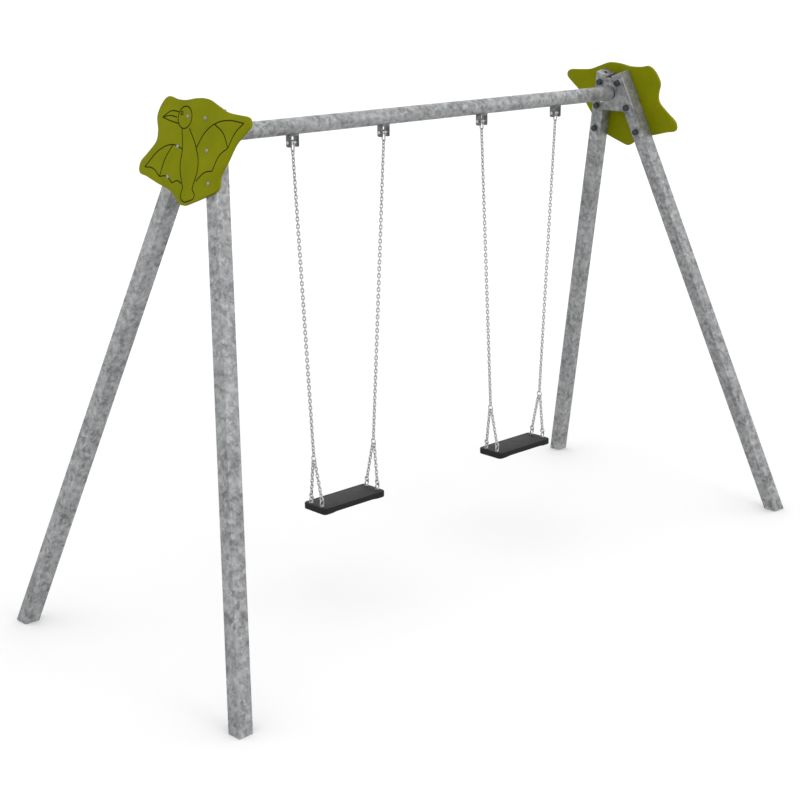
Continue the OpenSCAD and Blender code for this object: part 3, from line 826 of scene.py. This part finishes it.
# %% Make the seats
def make_seat(side):
    low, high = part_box(f"{side}_seat")
    centre = (low + high) / 2
    block = (high.x - low.x) / 2 - SEAT_BLOCK_L
    bpy.ops.object.select_all(action="DESELECT")
    bpy.ops.mesh.primitive_cube_add(size=1, location=centre, scale=high - low)
    seat = settle(bpy.context.object)
    seat.name = f"{side}_seat_rubber"
    edit(seat)
    round_seat(seat, low, high)
    lift_underside(seat, centre, block)
    border_top(seat, centre, block)
    bpy.ops.object.mode_set(mode="OBJECT")
    apply(seat, "BEVEL", width=SEAT_EDGE, segments=2, limit_method="ANGLE",
        angle_limit=math.radians(35), use_clamp_overlap=True)
    smooth(seat, 40)
    inside_x = block - BORDER - JOINT_W
    inside_y = (high.y - low.y) / 2 - SEAT_RIM_R - BORDER - JOINT_W
    mark_rubbed(seat, centre, inside_x, inside_y)
    dress(seat, f"{side}_seat_assembly", "black_rubber", f"{side}_seat", seat_rubber, seat_edge)


for side in SIDES:
    make_seat(side)

# %% [markdown]
# ## The rest of the hardware
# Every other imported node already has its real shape. Each gets the finish of its metal or plastic.

# %% Dress the remaining nodes
FINISHES = {
    "crossbeam": galvanised,
    "lock_bolt": bright,
    "frame_bolts": bolt_steel,
    "nut_washers": bright,
    "frame_nuts": bright,
    "bolt_covers": cover_plastic,
    "pivot_bolts": bright,
    "pivot_nuts": bright,
    "spools": bright,
    "top_links": chain_steel,
    "rings": chain_steel,
    "corner_links": chain_steel,
    "seat_eyes": chain_steel,
    "seat_core": core_steel,
}
dressed = 0
for name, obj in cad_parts.items():
    kind = name.removeprefix("left_").removeprefix("right_")
    if kind in FINISHES:
        for i in range(len(obj.data.materials)):
            obj.data.materials[i] = FINISHES[kind]
        if not obj.data.materials:
            obj.data.materials.append(FINISHES[kind])
        dressed += 1
print("dressed", dressed, "nodes")

# %% [markdown]
# ## Floor
# The set stands on a plain pale floor. It is painted a little lighter far away, as painted light
# where the lamp no longer reaches, so that it runs into the background. It catches soft shadows but
# lights nothing and shows in no reflection, which leaves the brightness of each face to the sky and
# the lamp.

# %% Lay the floor
FLOOR_WIDTH = 400.0
FLOOR_CLOUD = 2.0
NEAR_PART = 3.5
FAR_PART = 10.0
bpy.ops.object.select_all(action="DESELECT")
bpy.ops.mesh.primitive_plane_add(size=FLOOR_WIDTH)
floor = bpy.context.object
floor.name = "floor"
paving = Finish("floor_finish", {"Roughness": 0.9, "Specular IOR Level": 0.1})
away = paving.node("ShaderNodeVectorMath", {"operation": "LENGTH"}, {0: paving.place}, 1)
# Painted light: the floor grows lighter with distance from the set, where the lamp's light falls off
painted_far_light = paving.between(away, NEAR_PART, FAR_PART) + (paving.noise(FLOOR_CLOUD) - 0.5) * 0.04
paving.feed(Base_Color=paving.mix(painted_far_light, grey(0.80), grey(0.88)))
floor.data.materials.append(paving.material)
floor.visible_diffuse = False
floor.visible_glossy = False
print("the floor is", FLOOR_WIDTH, "m wide")

# %% [markdown]
# ## Sky and lamp
# The sky is white all round, brighter above than below, and turns from one to the other near the
# horizon. It gives most of the light. One big soft lamp ahead of the set lifts the faces that look
# forward and draws the glints on the tubes' rounded edges.

# %% Hang the sky
SKY = 1.25
GROUND = 0.80
HORIZON = 0.1
bpy.context.scene.view_settings.view_transform = "Standard"
world = bpy.data.worlds.new("studio")
bpy.context.scene.world = world
world.use_nodes = True
sky = world.node_tree
direction = sky.nodes.new("ShaderNodeTexCoord")
height = sky.nodes.new("ShaderNodeSeparateXYZ")
strength = sky.nodes.new("ShaderNodeMapRange")
strength.inputs["From Min"].default_value = -HORIZON
strength.inputs["From Max"].default_value = HORIZON
strength.inputs["To Min"].default_value = GROUND
strength.inputs["To Max"].default_value = SKY
sky.links.new(direction.outputs["Generated"], height.inputs[0])
sky.links.new(height.outputs["Z"], strength.inputs["Value"])
sky.links.new(strength.outputs[0], sky.nodes["Background"].inputs["Strength"])
sky.nodes["Background"].inputs["Color"].default_value = (1.0, 1.0, 1.0, 1.0)
print("the sky goes from", GROUND, "below to", SKY, "above")

# %% Place the lamp
LAMP_PLACE = Vector((0.0, -12.0, 6.5))
LAMP_AIM = Vector((0.0, 0.0, 1.0))
LAMP_WIDTH = 5.0
LAMP_POWER = 220.0
lamp_data = bpy.data.lights.new("front_lamp", "AREA")
lamp_data.shape = "SQUARE"
lamp_data.size = LAMP_WIDTH
lamp_data.energy = LAMP_POWER
lamp = bpy.data.objects.new("front_lamp", lamp_data)
bpy.context.scene.collection.objects.link(lamp)
lamp.location = LAMP_PLACE
lamp.rotation_euler = (LAMP_AIM - LAMP_PLACE).to_track_quat("-Z", "Y").to_euler()
print("the lamp stands", round(LAMP_PLACE.length, 1), "m away")
